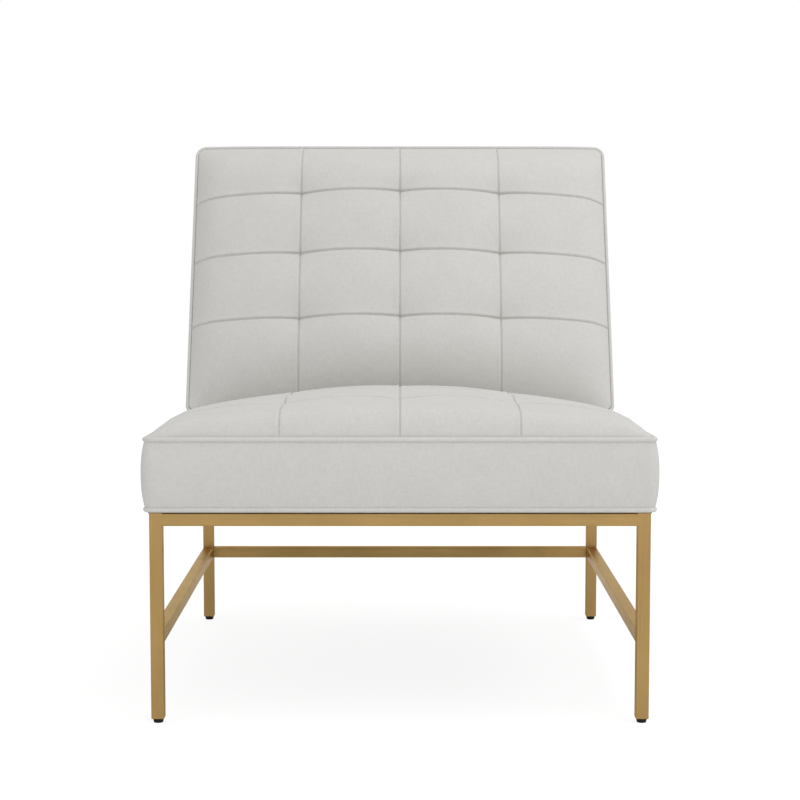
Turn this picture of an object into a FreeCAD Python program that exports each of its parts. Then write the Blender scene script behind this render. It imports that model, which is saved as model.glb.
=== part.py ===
import FreeCAD, Part
import math
import os

# Armless lounge chair: welded square-tube base on levelling feet, a boxed seat and a leaning
# boxed back, both sprung, foam filled and covered with a panel that is sewn into square cells.
# Millimetres, +Z up, the sitter faces -Y. While the chair is built, y = 0 is the front face of
# the front legs. Left and right are as seen from the front. At the end every piece moves back
# together, so that the origin is the bottom centre of the whole chair's box.

# Base
frame_width = 671.0
frame_depth = 696.0
stretcher_top = 125.2
tube_size = 17.5
tube_wall = 1.5
tube_edge_radius = 1.5
leg_end_radius = 1.2
corner_plate_size = 50.0
corner_plate_thickness = 3.0
seat_bolt_inset = 20.0

# Levelling feet
pad_height = 5.7
pad_top_diameter = 14.6
pad_base_diameter = 12.4
pad_rim = 1.6
foot_travel = 8.0
stem_diameter = 6.0
stem_head_diameter = 9.0
stem_head_thickness = 1.6
pad_roof = 1.4
running_clearance = 0.06
insert_length = 20.0
insert_fit = 0.05

# Seat frame and suspension
dust_cover_thickness = 0.8
board_thickness = 22.0
seat_rail_height = 50.0
corner_block_size = 48.0
corner_block_height = 38.0
seat_bolt_diameter = 6.0
seat_bolt_head_diameter = 11.0
seat_bolt_head_height = 4.0
tee_nut_flange_diameter = 19.0
tee_nut_flange_thickness = 1.5
tee_nut_barrel_diameter = 8.0
tee_nut_barrel_length = 9.0
bolt_hole_clearance = 0.5
spring_count = 4
spring_wire = 3.4
spring_loop_radius = 13.0
spring_straight = 28.0
clip_metal = 1.2
clip_width = 20.0
insulator_thickness = 3.0

# Seat cushion
seat_overhang = 8.0
seat_welt_diameter = 6.7
seat_corner_radius = 9.0
seat_welt_height = 385.5
seat_box_height = 99.3
seat_pitch = 1.78
bottom_welt_gap = 1.6
boxing_bulge = 5.1
boxing_outset = 1.0
soft_gap = 0.3
seat_crown = 54.4
seat_side_sag = 0.73
seat_end_sag = 0.37
seat_side_tilt = 0.35
seat_side_run = 90.0
seat_side_power = 7.9
seat_front_run = 26.3
seat_front_power = 4.8
seat_rear_run = 140.0
seat_rear_power = 2.5
seat_pillow = 1.4
seat_pull = 7.4
seat_seams = (126.0, 249.0, 371.0)
seat_crease_gap = 5.4
deck_thickness = 3.0

# Back cushion
back_base_depth = 201.0
back_rear_overhang = 1.0
back_side_overhang = 4.2
back_lean = 24.4
back_slant = 467.5
back_top_depth = 112.0
back_welt_diameter = 5.2
back_corner_radius = 10.0
back_top_corner_radius = 15.5
back_boxing_outset = 0.8
back_boxing_bulge = 3.0
back_foam_thickness = 40.0
back_crown = 65.6
back_side_sag = 0.65
back_side_run = 97.0
back_side_power = 6.0
back_bottom_run = 140.0
back_bottom_power = 2.5
back_top_run = 110.0
back_top_power = 3.0
back_pillow = 4.0
back_pull = 13.3
back_seams = (140.2, 253.4, 359.7)
webbing_thickness = 1.5
webbing_width = 50.0
webbing_count = 5
rear_panel_thickness = 2.0
back_rail_height = 50.0

# Crowned panels: how the seams lie in them, and where sections are taken in a cell and in the foam
column_spacing = 161.2
panel_edge = 3.0
arch_power = 0.835
quilt_thickness = 18.0
foam_edge = 0.5
foam_margin = 5.0
foam_rounding = 1.5
foam_side_power = 2.6
edge_cell_stations = (0, 0.03, 0.08, 0.15, 0.25, 0.45, 0.7, 0.9, 1)
middle_cell_stations = (0, 0.12, 0.3, 0.5, 0.7, 0.88, 1)
foam_stations = (0, 0.02, 0.06, 0.12, 0.2, 0.3, 0.45, 0.6, 0.75, 0.85, 0.92, 0.97, 1)

# Plates that join the back to the seat
bracket_thickness = 5.0
bracket_width = 34.0
bracket_block_gap = 0.5
bracket_bottom = 6.0
bracket_rise = 84.0
bracket_screw_diameter = 8.0
bracket_screw_depth = 18.0
bracket_screw_head_diameter = 13.0
bracket_screw_head_height = 5.0
bracket_screw_pitch = 22.0
bracket_screw_edge = 12.0

half_width = frame_width / 2
rail_top = seat_welt_height - seat_box_height
rail_bottom = rail_top - tube_size
seat_welt_radius = seat_welt_diameter / 2
back_welt_radius = back_welt_diameter / 2
seat_half = half_width + seat_overhang - seat_welt_radius
seat_front = -seat_overhang + seat_welt_radius
seat_length = frame_depth + 2 * seat_overhang - seat_welt_diameter
seat_slope_length = seat_length / math.cos(math.radians(seat_pitch))
seat_inset = seat_welt_radius + soft_gap
bottom_welt_height = rail_top + bottom_welt_gap + seat_welt_radius
wood_bottom = rail_top + dust_cover_thickness
seat_rail_top = wood_bottom + seat_rail_height
wood_half = seat_half - seat_inset
wood_front = seat_front + seat_inset
wood_rear = seat_front + seat_length - seat_inset
bracket_rear = wood_rear - board_thickness - corner_block_size - bracket_block_gap
bracket_front = bracket_rear - bracket_width
spring_height = seat_rail_top + clip_metal + spring_wire / 2
insulator_bottom = spring_height + spring_wire / 2
foam_bottom = insulator_bottom + insulator_thickness
back_base = frame_depth + back_rear_overhang - back_base_depth
back_half_width = half_width + back_side_overhang
back_inset = back_welt_radius + soft_gap
back_frame_depth = back_foam_thickness + webbing_thickness
seat_crease = (back_base - seat_front) / math.cos(math.radians(seat_pitch)) - seat_crease_gap


def point(x, y, z):
    return FreeCAD.Vector(x, y, z)


def tilted(base_y, base_z, angle):
    """Placement of a sloping plane: its local Y climbs at the angle, its local Z is the normal."""
    turn = FreeCAD.Rotation(point(1, 0, 0), angle)
    return FreeCAD.Placement(point(0, base_y, base_z), turn)


seat_plane = tilted(seat_front, seat_welt_height, -seat_pitch)


def deck_height(y):
    """Top of the deck cloth under the back cushion."""
    pitch = math.radians(seat_pitch)
    plane = seat_welt_height - (y - seat_front) * math.tan(pitch)
    return plane + deck_thickness / math.cos(pitch)


def back_corners():
    """Welt centres at the back cushion's four corners in side view, as (y, z)."""
    lift = soft_gap + back_welt_radius
    lean = math.radians(back_lean)
    front_low = (back_base, deck_height(back_base) + lift)
    rear_low_y = back_base + back_base_depth
    rear_low = (rear_low_y, deck_height(rear_low_y) + lift)
    front_high = (front_low[0] + back_slant * math.sin(lean), front_low[1] + back_slant * math.cos(lean))
    rear_high = (front_high[0] + back_top_depth * math.cos(lean),
                 front_high[1] - back_top_depth * math.sin(lean))
    return front_low, front_high, rear_low, rear_high


front_low, front_high, rear_low, rear_high = back_corners()
rear_slant = math.hypot(rear_high[0] - rear_low[0], rear_high[1] - rear_low[1])
rear_lean = math.degrees(math.atan2(rear_high[0] - rear_low[0], rear_high[1] - rear_low[1]))
back_plane = tilted(front_low[0], front_low[1], 90.0 - back_lean)
rear_plane = tilted(rear_low[0], rear_low[1], 90.0 - rear_lean)

chair_front = seat_front - boxing_outset - boxing_bulge
chair_rear = rear_high[0] + back_welt_radius
centre_y = (chair_front + chair_rear) / 2

nodes = {}


def add(name, *solids):
    nodes[name] = solids[0] if len(solids) == 1 else Part.makeCompound(list(solids))


def block(x_range, y_range, z_range):
    size = [high - low for low, high in (x_range, y_range, z_range)]
    return Part.makeBox(size[0], size[1], size[2], point(x_range[0], y_range[0], z_range[0]))


def rod(diameter, start, end):
    along = end - start
    return Part.makeCylinder(diameter / 2, along.Length, start, along)


def line(start, end):
    return Part.LineSegment(start, end).toShape()


def arc(start, middle, end):
    return Part.Arc(start, middle, end).toShape()


def spline(points):
    curve = Part.BSplineCurve()
    curve.interpolate(points)
    return curve.toShape()


def polygon(points):
    return Part.Wire([line(a, b) for a, b in zip(points, points[1:] + points[:1])])


def prism(wire, along):
    return Part.Face(wire).extrude(along)


def in_plane(solid, plane):
    placed = solid.copy()
    placed.Placement = plane.multiply(placed.Placement)
    return placed


def rounded_outline(half, low, high, radius, height=0.0, high_radius=None):
    """Rounded rectangle in a local XY plane, from the middle of its low edge round to it again.
    Its two high corners may have a radius of their own."""
    corners = [(1, low, 1, radius), (1, high, -1, high_radius or radius),
               (-1, high, -1, high_radius or radius), (-1, low, 1, radius)]
    edges = []
    start = point(0, low, height)
    for i, (side, y, inward, turn) in enumerate(corners):
        bend = turn * (1 - math.sqrt(0.5))
        ends = [point(side * (half - turn), y, height), point(side * half, y + inward * turn, height)]
        if i % 2:
            ends.reverse()
        edges.append(line(start, ends[0]))
        edges.append(arc(ends[0], point(side * (half - bend), y + inward * bend, height), ends[1]))
        start = ends[1]
    edges.append(line(start, point(0, low, height)))
    return Part.Wire(edges)


def seat_outline(inset, height=0.0, length=seat_slope_length):
    """Outline of the sloping seat top, drawn in from the welt's centre line; below 0 it goes outwards."""
    return rounded_outline(seat_half - inset, inset, length - inset, seat_corner_radius - inset, height)


def seat_plan(inset, height):
    """The same outline laid level at a height."""
    outline = seat_outline(inset, 0.0, seat_length)
    outline.translate(point(0, seat_front, height))
    return outline


def back_outline(inset, length, height=0.0):
    return rounded_outline(back_half_width - inset, inset, length - inset,
                           back_corner_radius - inset, height, back_top_corner_radius - inset)


def piped(outline, diameter):
    """A welt: a cord of fabric swept once round an outline that starts along +X."""
    start = outline.Edges[0].Vertexes[0].Point
    circle = Part.Wire([Part.Circle(start, point(1, 0, 0), diameter / 2).toShape()])
    return outline.makePipeShell([circle], True, False)


def tube(length_axis, low, high, corner=None):
    """Hollow square tube between two opposite corners of its box. Its long edges are rounded,
    or with a corner given, only the long edge that is nearest to it."""
    outer = block(*zip(low, high))
    long_edges = [e for e in outer.Edges if abs(e.tangentAt(e.FirstParameter)[length_axis]) > 0.5]
    if corner:
        long_edges = [min(long_edges, key=lambda edge: edge.CenterOfMass.distanceToPoint(corner))]
    outer = outer.makeFillet(tube_edge_radius, long_edges)
    inner_low = [v if i == length_axis else v + tube_wall for i, v in enumerate(low)]
    inner_high = [v if i == length_axis else v - tube_wall for i, v in enumerate(high)]
    return outer.cut(block(*zip(inner_low, inner_high)))


def make_base():
    """Four legs, four top rails, two side stretchers and one rear stretcher, welded end to face.
    Where the rails are ground flush with a leg it keeps only its outer edge round; its foot end is eased."""
    leg_places = {"front_left": (-half_width, 0.0), "front_right": (half_width - tube_size, 0.0),
                  "rear_left": (-half_width, frame_depth - tube_size),
                  "rear_right": (half_width - tube_size, frame_depth - tube_size)}
    for name, (x, y) in leg_places.items():
        shaft = tube(2, (x, y, pad_height), (x + tube_size, y + tube_size, rail_bottom))
        corner = point(math.copysign(half_width, x), 0 if y == 0 else frame_depth, rail_top)
        head = tube(2, (x, y, rail_bottom), (x + tube_size, y + tube_size, rail_top), corner)
        rim = [e for e in shaft.Edges if e.BoundBox.ZMax < pad_height + tube_wall
               and e.CenterOfMass.distanceToPoint(point(x + tube_size / 2, y + tube_size / 2, pad_height))
               > (tube_size - tube_wall) / 2]
        add(name + "_leg", shaft.makeFillet(leg_end_radius, rim).fuse(head).removeSplitter())
    across = half_width - tube_size
    for name, y in (("front", 0.0), ("rear", frame_depth - tube_size)):
        add(name + "_rail", tube(0, (-across, y, rail_bottom), (across, y + tube_size, rail_top)))
    y = frame_depth - tube_size
    stretcher_bottom = stretcher_top - tube_size
    add("rear_stretcher", tube(0, (-across, y, stretcher_bottom), (across, frame_depth, stretcher_top)))
    for name, x in (("left", -half_width), ("right", across)):
        for kind, top in (("rail", rail_top), ("stretcher", stretcher_top)):
            low, high = (x, tube_size, top - tube_size), (x + tube_size, y, top)
            add(name + "_side_" + kind, tube(1, low, high))


def bolt_places():
    """Where the four bolts go up through the corner plates, with the way in towards the middle."""
    places = []
    for side in (-1, 1):
        for y, inward in ((tube_size, 1), (frame_depth - tube_size, -1)):
            x = side * (half_width - tube_size - seat_bolt_inset)
            places.append((x, y + inward * seat_bolt_inset, side, inward))
    return places


def corner_triangle(x, y, side, inward, size, bottom, height):
    corners = [point(x, y, bottom), point(x - side * size, y, bottom), point(x, y + inward * size, bottom)]
    return prism(polygon(corners), point(0, 0, height))


def make_seat_fixings():
    """Corner plates in the base, with the bolts and tee nuts that hold the seat frame down."""
    plates, bolts, nuts = [], [], []
    plate_bottom = rail_top - corner_plate_thickness
    block_top = wood_bottom + corner_block_height
    for x, y, side, inward in bolt_places():
        corner_y = y - inward * seat_bolt_inset
        plate = corner_triangle(side * (half_width - tube_size), corner_y, side, inward,
                                corner_plate_size, plate_bottom, corner_plate_thickness)
        hole = rod(seat_bolt_diameter + 2 * bolt_hole_clearance, point(x, y, 0), point(x, y, rail_top + 1))
        plates.append(plate.cut(hole))
        under_plate = point(x, y, plate_bottom)
        on_block = point(x, y, block_top)
        head = rod(seat_bolt_head_diameter, point(x, y, plate_bottom - seat_bolt_head_height), under_plate)
        bolts.append(head.fuse(rod(seat_bolt_diameter, under_plate, on_block)))
        flange_top = point(x, y, block_top + tee_nut_flange_thickness)
        flange = rod(tee_nut_flange_diameter, on_block, flange_top)
        barrel = rod(tee_nut_barrel_diameter, point(x, y, block_top - tee_nut_barrel_length), on_block)
        thread = rod(seat_bolt_diameter + 2 * running_clearance, under_plate, flange_top)
        nuts.append(flange.fuse(barrel).cut(thread))
    add("corner_plates", *plates)
    add("seat_bolts", *bolts)
    add("seat_tee_nuts", *nuts)


def make_feet():
    """Levelling feet: a pad that stays flat, a threaded stem that turns in it, and the leg's insert."""
    inserts = []
    bore = stem_diameter + 2 * running_clearance
    inner = tube_size - 2 * tube_wall - 2 * insert_fit
    head_top = pad_height - pad_roof
    for name, side, y in (("front_left", -1, tube_size / 2), ("front_right", 1, tube_size / 2),
                          ("rear_left", -1, frame_depth - tube_size / 2),
                          ("rear_right", 1, frame_depth - tube_size / 2)):
        x = side * (half_width - tube_size / 2)
        rim_bottom = pad_height - pad_rim
        taper = Part.makeCone(pad_base_diameter / 2, pad_top_diameter / 2, rim_bottom, point(x, y, 0))
        pad = taper.fuse(rod(pad_top_diameter, point(x, y, rim_bottom), point(x, y, pad_height)))
        pad = pad.cut(rod(bore, point(x, y, head_top), point(x, y, pad_height)))
        room_bottom = head_top - stem_head_thickness - 2 * running_clearance
        head_room = rod(stem_head_diameter + 2 * running_clearance,
                        point(x, y, room_bottom), point(x, y, head_top))
        add(name + "_foot_pad", pad.cut(head_room))
        head = rod(stem_head_diameter, point(x, y, head_top - stem_head_thickness - running_clearance),
                   point(x, y, head_top - running_clearance))
        stem_top = pad_height + insert_length + foot_travel
        add(name + "_foot_stem", head.fuse(rod(stem_diameter, point(x, y, head_top - running_clearance),
                                               point(x, y, stem_top))))
        plug = block((x - inner / 2, x + inner / 2), (y - inner / 2, y + inner / 2),
                     (pad_height, pad_height + insert_length))
        inserts.append(plug.cut(rod(bore, point(x, y, 0), point(x, y, stem_top))))
    add("leg_inserts", *inserts)


def bracket(side, clearance=0.0):
    """Steel plate on the inner faces of the seat's side rail and the back's upright."""
    outer = wood_half - board_thickness
    x = sorted((side * (outer + clearance), side * (outer - bracket_thickness - clearance)))
    top = front_low[1] + bracket_rise
    return block(x, (bracket_front - clearance, bracket_rear + clearance),
                 (wood_bottom + bracket_bottom - clearance, top + clearance))


def bracket_screw_places():
    """Where the four screws of a bracket go, as (y, z): two in the seat's board, two in the upright."""
    middle = (bracket_front + bracket_rear) / 2
    low = wood_bottom + bracket_bottom + bracket_screw_edge
    high = front_low[1] + bracket_rise - bracket_screw_edge
    return [(middle, z) for z in (low, low + bracket_screw_pitch, high - bracket_screw_pitch, high)]


def bracket_screws(side, clearance=0.0):
    inner = wood_half - board_thickness
    screws = []
    for y, z in bracket_screw_places():
        plate_face = point(side * (inner - bracket_thickness), y, z)
        tip = point(side * (inner + bracket_screw_depth + clearance), y, z)
        shank = rod(bracket_screw_diameter + 2 * clearance, plate_face, tip)
        head_end = point(side * (inner - bracket_thickness - bracket_screw_head_height), y, z)
        screws.append(shank.fuse(rod(bracket_screw_head_diameter + 2 * clearance, head_end, plate_face)))
    return screws


def without_brackets(solid):
    """Slots where the two plates and their screws pass through a soft layer, a cloth or a rail."""
    for side in (-1, 1):
        solid = solid.cut([bracket(side, soft_gap), *bracket_screws(side, soft_gap)])
    return solid


def make_brackets():
    plates = []
    screws = []
    for side in (-1, 1):
        holes = bracket_screws(side, running_clearance)
        plates.append(bracket(side).cut(holes))
        screws += bracket_screws(side)
    add("back_brackets", *plates)
    add("bracket_screws", *screws)


def make_seat_frame():
    """Four boards on edge with corner blocks, and the dust cover between them and the base."""
    heights = (wood_bottom, seat_rail_top)
    inner = wood_half - board_thickness
    plan = prism(seat_plan(seat_inset, wood_bottom), point(0, 0, seat_rail_height))
    for name, y in (("front", wood_front), ("rear", wood_rear - board_thickness)):
        board = block((-wood_half, wood_half), (y, y + board_thickness), heights)
        add("seat_" + name + "_board", board.common(plan))
    for name, side in (("left", -1), ("right", 1)):
        x = sorted((side * inner, side * wood_half))
        board = block(x, (wood_front + board_thickness, wood_rear - board_thickness), heights)
        add("seat_" + name + "_board", board.cut(bracket_screws(side, running_clearance)))
    blocks = []
    cover = prism(seat_plan(seat_inset, rail_top), point(0, 0, dust_cover_thickness))
    for x, y, side, inward in bolt_places():
        corner_y = wood_front + board_thickness if inward > 0 else wood_rear - board_thickness
        solid = corner_triangle(side * inner, corner_y, side, inward,
                                corner_block_size, wood_bottom, corner_block_height)
        barrel_hole = tee_nut_barrel_diameter + 2 * running_clearance
        blocks.append(solid.cut(rod(barrel_hole, point(x, y, wood_bottom), point(x, y, seat_rail_top))))
        bolt_hole = seat_bolt_diameter + 2 * bolt_hole_clearance
        cover = cover.cut(rod(bolt_hole, point(x, y, 0), point(x, y, seat_rail_top)))
    add("seat_corner_blocks", *blocks)
    add("dust_cover", cover)


def zigzag_spring(x, start_y, end_y):
    """Flat sinuous spring: straights across, joined by half turns on alternate sides."""
    turns = round((end_y - start_y) / (2 * spring_loop_radius))
    radius = (end_y - start_y) / (2 * turns)
    reach = spring_straight / 2
    side = 1
    y = start_y
    edges = []
    for _ in range(turns):
        near, far = point(x - side * reach, y, spring_height), point(x + side * reach, y, spring_height)
        edges.append(line(near, far))
        edges.append(arc(far, point(x + side * (reach + radius), y + radius, spring_height),
                         point(x + side * reach, y + 2 * radius, spring_height)))
        y += 2 * radius
        side = -side
    near, far = point(x - side * reach, y, spring_height), point(x + side * reach, y, spring_height)
    edges.append(line(near, far))
    path = Part.Wire(edges)
    start = path.Edges[0].Vertexes[0].Point
    circle = Part.Wire([Part.Circle(start, point(1, 0, 0), spring_wire / 2).toShape()])
    return path.makePipeShell([circle], True, False)


def spring_clip(x, y, towards_middle):
    """Folded strip on the board's top edge that closes over the end of a spring."""
    inside = spring_wire / 2 + running_clearance
    depth = (y - towards_middle * (inside + clip_metal), y + towards_middle * inside)
    x_range = (x - clip_width / 2, x + clip_width / 2)
    outer = block(x_range, sorted(depth), (seat_rail_top, spring_height + inside + clip_metal / 2))
    slot = block(x_range, sorted((y - towards_middle * inside, y + towards_middle * (inside + clip_metal))),
                 (spring_height - inside, spring_height + inside))
    return outer.cut(slot)


def make_suspension():
    """Springs from the front board to the rear board, their clips and the felt over them."""
    start = wood_front + board_thickness / 2
    end = wood_rear - board_thickness / 2
    gap = 2 * wood_half / (spring_count + 1)
    springs, clips = [], []
    for i in range(spring_count):
        x = -wood_half + (i + 1) * gap
        springs.append(zigzag_spring(x, start, end))
        clips.append(spring_clip(x, start, 1))
        clips.append(spring_clip(x, end, -1))
    add("seat_springs", *springs)
    add("spring_clips", *clips)
    felt = prism(seat_plan(seat_inset, insulator_bottom), point(0, 0, insulator_thickness))
    felt = without_brackets(felt)
    add("spring_felt", felt.cut(clips))


def rise(distance, run, power):
    """Share of the full crown at a distance from a sewn edge: 0 on the edge, 1 past the run."""
    return 1.0 - max(0.0, 1.0 - distance / run) ** power


def dome(share, sag):
    """Share of the full crown at a share of the way from a panel's middle to its edge."""
    return 1.0 - sag * share * share


def cell_bump(place, seams):
    """0 on a seam and 1 halfway between two of them."""
    for low, high in zip(seams, seams[1:]):
        if low <= place <= high:
            share = (place - low) / (high - low)
            return 4 * share * (1 - share)
    return 0.0


def freed(place, seams):
    """0 on an inner seam and 1 halfway to the next. In the outer half of an outer cell it stays 1."""
    if place < (seams[0] + seams[1]) / 2 or place > (seams[-2] + seams[-1]) / 2:
        return 1.0
    return cell_bump(place, seams) ** arch_power


def quilting(x, v, columns, rows, pillow, pull):
    """How far the cells swell over the crown and how far crossing seams hold the cover down."""
    plump = cell_bump(x, columns) * cell_bump(v, rows)
    held = (1 - freed(x, columns)) * (1 - freed(v, rows))
    return pillow * plump - pull * held


def cell_places(low, high, first, last):
    """Where sections are taken across one cell, closer together towards the panel's own edge."""
    shares = middle_cell_stations
    if first:
        shares = edge_cell_stations
    if last:
        shares = [1 - share for share in edge_cell_stations[::-1]]
    return [low + share * (high - low) for share in shares]


def pad_section(v, columns, height):
    """Cross-section of a crowned pad: flat base, low sides and one curve over each column."""
    half = columns[-1]
    right, left = point(half, v, height(half, v)), point(-half, v, height(-half, v))
    edges = [line(point(-half, v, 0), point(half, v, 0)), line(point(half, v, 0), right)]
    for i in range(len(columns) - 1, 0, -1):
        places = cell_places(columns[i - 1], columns[i], i == 1, i == len(columns) - 1)
        edges.append(spline([point(x, v, height(x, v)) for x in places[::-1]]))
    edges.append(line(left, point(-half, v, 0)))
    return Part.Wire(edges)


def crowned_pad(columns, rows, height):
    """Pad that is sewn in cells: one loft for each row, so that the cross seams stay sharp."""
    pad = None
    for i, (low, high) in enumerate(zip(rows, rows[1:])):
        places = cell_places(low, high, i == 0, i == len(rows) - 2)
        row = Part.makeLoft([pad_section(v, columns, height) for v in places], True, False)
        pad = row if pad is None else pad.fuse(row)
    return pad


def foam_section(v, half, top):
    """Cross-section of the foam's crown: flat base, low sides and an arc each side of the middle."""
    crest = point(0, v, foam_edge + top)
    flank = foam_edge + top * (1 - 0.5 ** foam_side_power) + foam_rounding
    right, left = point(half, v, foam_edge), point(-half, v, foam_edge)
    edges = [line(point(-half, v, 0), point(half, v, 0)), line(point(half, v, 0), right)]
    edges.append(arc(right, point(half / 2, v, flank), crest))
    edges.append(arc(crest, point(-half / 2, v, flank), left))
    edges.append(line(left, point(-half, v, 0)))
    return Part.Wire(edges)


def foam_crown(half, low, high, crown):
    """Crown of the foam under a quilted panel, lower than the cover by the quilting's thickness."""
    places = [low + share * (high - low) for share in foam_stations]
    sections = [foam_section(v, half, max(0.0, crown(0.0, v) - quilt_thickness)) for v in places]
    return Part.makeLoft(sections, True, True)


def seat_crown_at(x, v):
    middle, reach = (seat_inset + seat_crease) / 2, (seat_crease - seat_inset) / 2
    across = dome(x / wood_half, seat_side_sag) * rise(wood_half - abs(x), seat_side_run, seat_side_power)
    forward = 1 - seat_side_tilt * (x / wood_half) ** 2 * (v - middle) / reach
    along = (forward * dome((v - middle) / reach, seat_end_sag)
             * rise(v - seat_inset, seat_front_run, seat_front_power)
             * rise(seat_crease - v, seat_rear_run, seat_rear_power))
    return seat_crown * across * along


def back_crown_at(x, v):
    half = back_half_width - back_inset
    across = dome(x / half, back_side_sag) * rise(half - abs(x), back_side_run, back_side_power)
    along = (rise(v - back_inset, back_bottom_run, back_bottom_power)
             * rise(back_slant - back_inset - v, back_top_run, back_top_power))
    return back_crown * across * along


def make_seat_cushion():
    """Foam, quilted top, deck cloth under the back, boxing band and the two welts."""
    columns = [-wood_half, -column_spacing, 0.0, column_spacing, wood_half]
    rows = [seat_inset, *seat_seams, seat_crease]

    def height(x, v):
        return panel_edge + seat_crown_at(x, v) + quilting(x, v, columns, rows, seat_pillow, seat_pull)

    top = crowned_pad(columns, rows, height)
    core = foam_crown(wood_half - foam_margin, seat_inset + foam_margin, seat_crease - foam_margin,
                      seat_crown_at)
    corners = prism(seat_outline(seat_inset), point(0, 0, seat_length))
    add("seat_quilted_top", in_plane(top.common(corners).cut(core), seat_plane))

    above = block((-frame_width, frame_width), (-frame_depth, 2 * frame_depth), (0, frame_width))
    above = in_plane(above, seat_plane)
    foam = prism(seat_plan(seat_inset, foam_bottom), point(0, 0, seat_welt_height)).cut(above)
    foam = foam.fuse(in_plane(core, seat_plane))
    add("seat_foam", without_brackets(foam))

    deck = prism(seat_outline(seat_inset), point(0, 0, deck_thickness))
    cushion = block((-frame_width, frame_width), (-1, seat_crease + soft_gap), (-1, deck_thickness + 1))
    deck = deck.cut(cushion)
    add("seat_deck_cloth", without_brackets(in_plane(deck, seat_plane)))

    low = seat_plan(-boxing_outset, bottom_welt_height + seat_welt_radius)
    middle_height = (bottom_welt_height + seat_welt_height) / 2
    middle = seat_plan(-boxing_outset - boxing_bulge, middle_height)
    middle.rotate(point(0, seat_front, middle_height), point(1, 0, 0), -seat_pitch / 2)
    high = in_plane(seat_outline(-boxing_outset, -seat_welt_radius), seat_plane)
    band = Part.makeLoft([low, middle, high], True, False)
    hollow = prism(seat_plan(seat_welt_radius, 0), point(0, 0, 2 * seat_welt_height))
    add("seat_boxing", band.cut(hollow))

    add("seat_bottom_welt", piped(seat_plan(0.0, bottom_welt_height), seat_welt_diameter))
    add("seat_top_welt", in_plane(piped(seat_outline(0.0), seat_welt_diameter), seat_plane))


def back_point(s, n):
    return back_plane.multVec(point(0, s, n))


def rear_point(t, n):
    return rear_plane.multVec(point(0, t, n))


def back_volume(outset, bulge, front_depth, rear_depth):
    """Space between the back's front and rear outlines; its sides and top may bulge halfway."""
    middle_plane = tilted((front_low[0] + rear_low[0]) / 2, (front_low[1] + rear_low[1]) / 2,
                          90.0 - (back_lean + rear_lean) / 2)
    length = (back_slant + rear_slant) / 2
    front = back_outline(-outset, back_slant, -front_depth)
    middle = rounded_outline(back_half_width + outset + bulge, -outset, length + outset + bulge,
                             back_corner_radius + outset, 0.0, back_top_corner_radius + outset)
    rear = back_outline(-outset, rear_slant, rear_depth)
    wires = [in_plane(front, back_plane), in_plane(middle, middle_plane), in_plane(rear, rear_plane)]
    return Part.makeLoft(wires, True, False)


def floor_rise(depth):
    """How far up the back plane the cushion's floor has climbed at a depth behind it."""
    return depth * math.tan(math.radians(back_lean - seat_pitch))


def upright_outline(x):
    """Side view of an upright: it fills the wedge between the webbing and the rear panel."""
    rear_depth = rear_panel_thickness + soft_gap
    top = back_slant - back_inset
    corners = [back_point(back_inset, -back_frame_depth), back_point(top, -back_frame_depth),
               rear_point(rear_slant - back_inset, rear_depth), rear_point(back_inset, rear_depth)]
    return polygon([point(x, corner.y, corner.z) for corner in corners])


def make_back_frame():
    """Two uprights with a top, a middle and a bottom rail between them, and straps across."""
    inner = wood_half - board_thickness
    inside = back_volume(-back_inset, 0.0, 0.0, 0.0)
    for name, side in (("left", -1), ("right", 1)):
        board = prism(upright_outline(side * inner), point(side * board_thickness, 0, 0)).common(inside)
        add("back_" + name + "_upright", board.cut(bracket_screws(side, running_clearance)))
    depth = (-back_frame_depth - board_thickness, -back_frame_depth)
    floor = back_inset + floor_rise(back_frame_depth + board_thickness)
    low = (floor, floor + back_rail_height)
    high = (back_slant - back_inset - back_rail_height, back_slant - back_inset)
    middle = ((low[0] + high[0]) / 2, (low[1] + high[1]) / 2)
    set_back = (depth[0] - board_thickness, depth[1] - board_thickness)
    for name, along, thick in (("bottom", low, depth), ("middle", middle, set_back), ("top", high, depth)):
        rail = in_plane(block((-inner, inner), along, thick), back_plane)
        add("back_" + name + "_rail", without_brackets(rail))
    straps = []
    lowest = back_inset + floor_rise(back_frame_depth)
    spread = (back_slant - back_inset - webbing_width - lowest) / (webbing_count - 1)
    for i in range(webbing_count):
        start = lowest + i * spread
        depth = (-back_frame_depth, -back_foam_thickness)
        strap = block((-wood_half, wood_half), (start, start + webbing_width), depth)
        straps.append(in_plane(strap, back_plane).common(inside))
    add("back_webbing", *straps)


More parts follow.
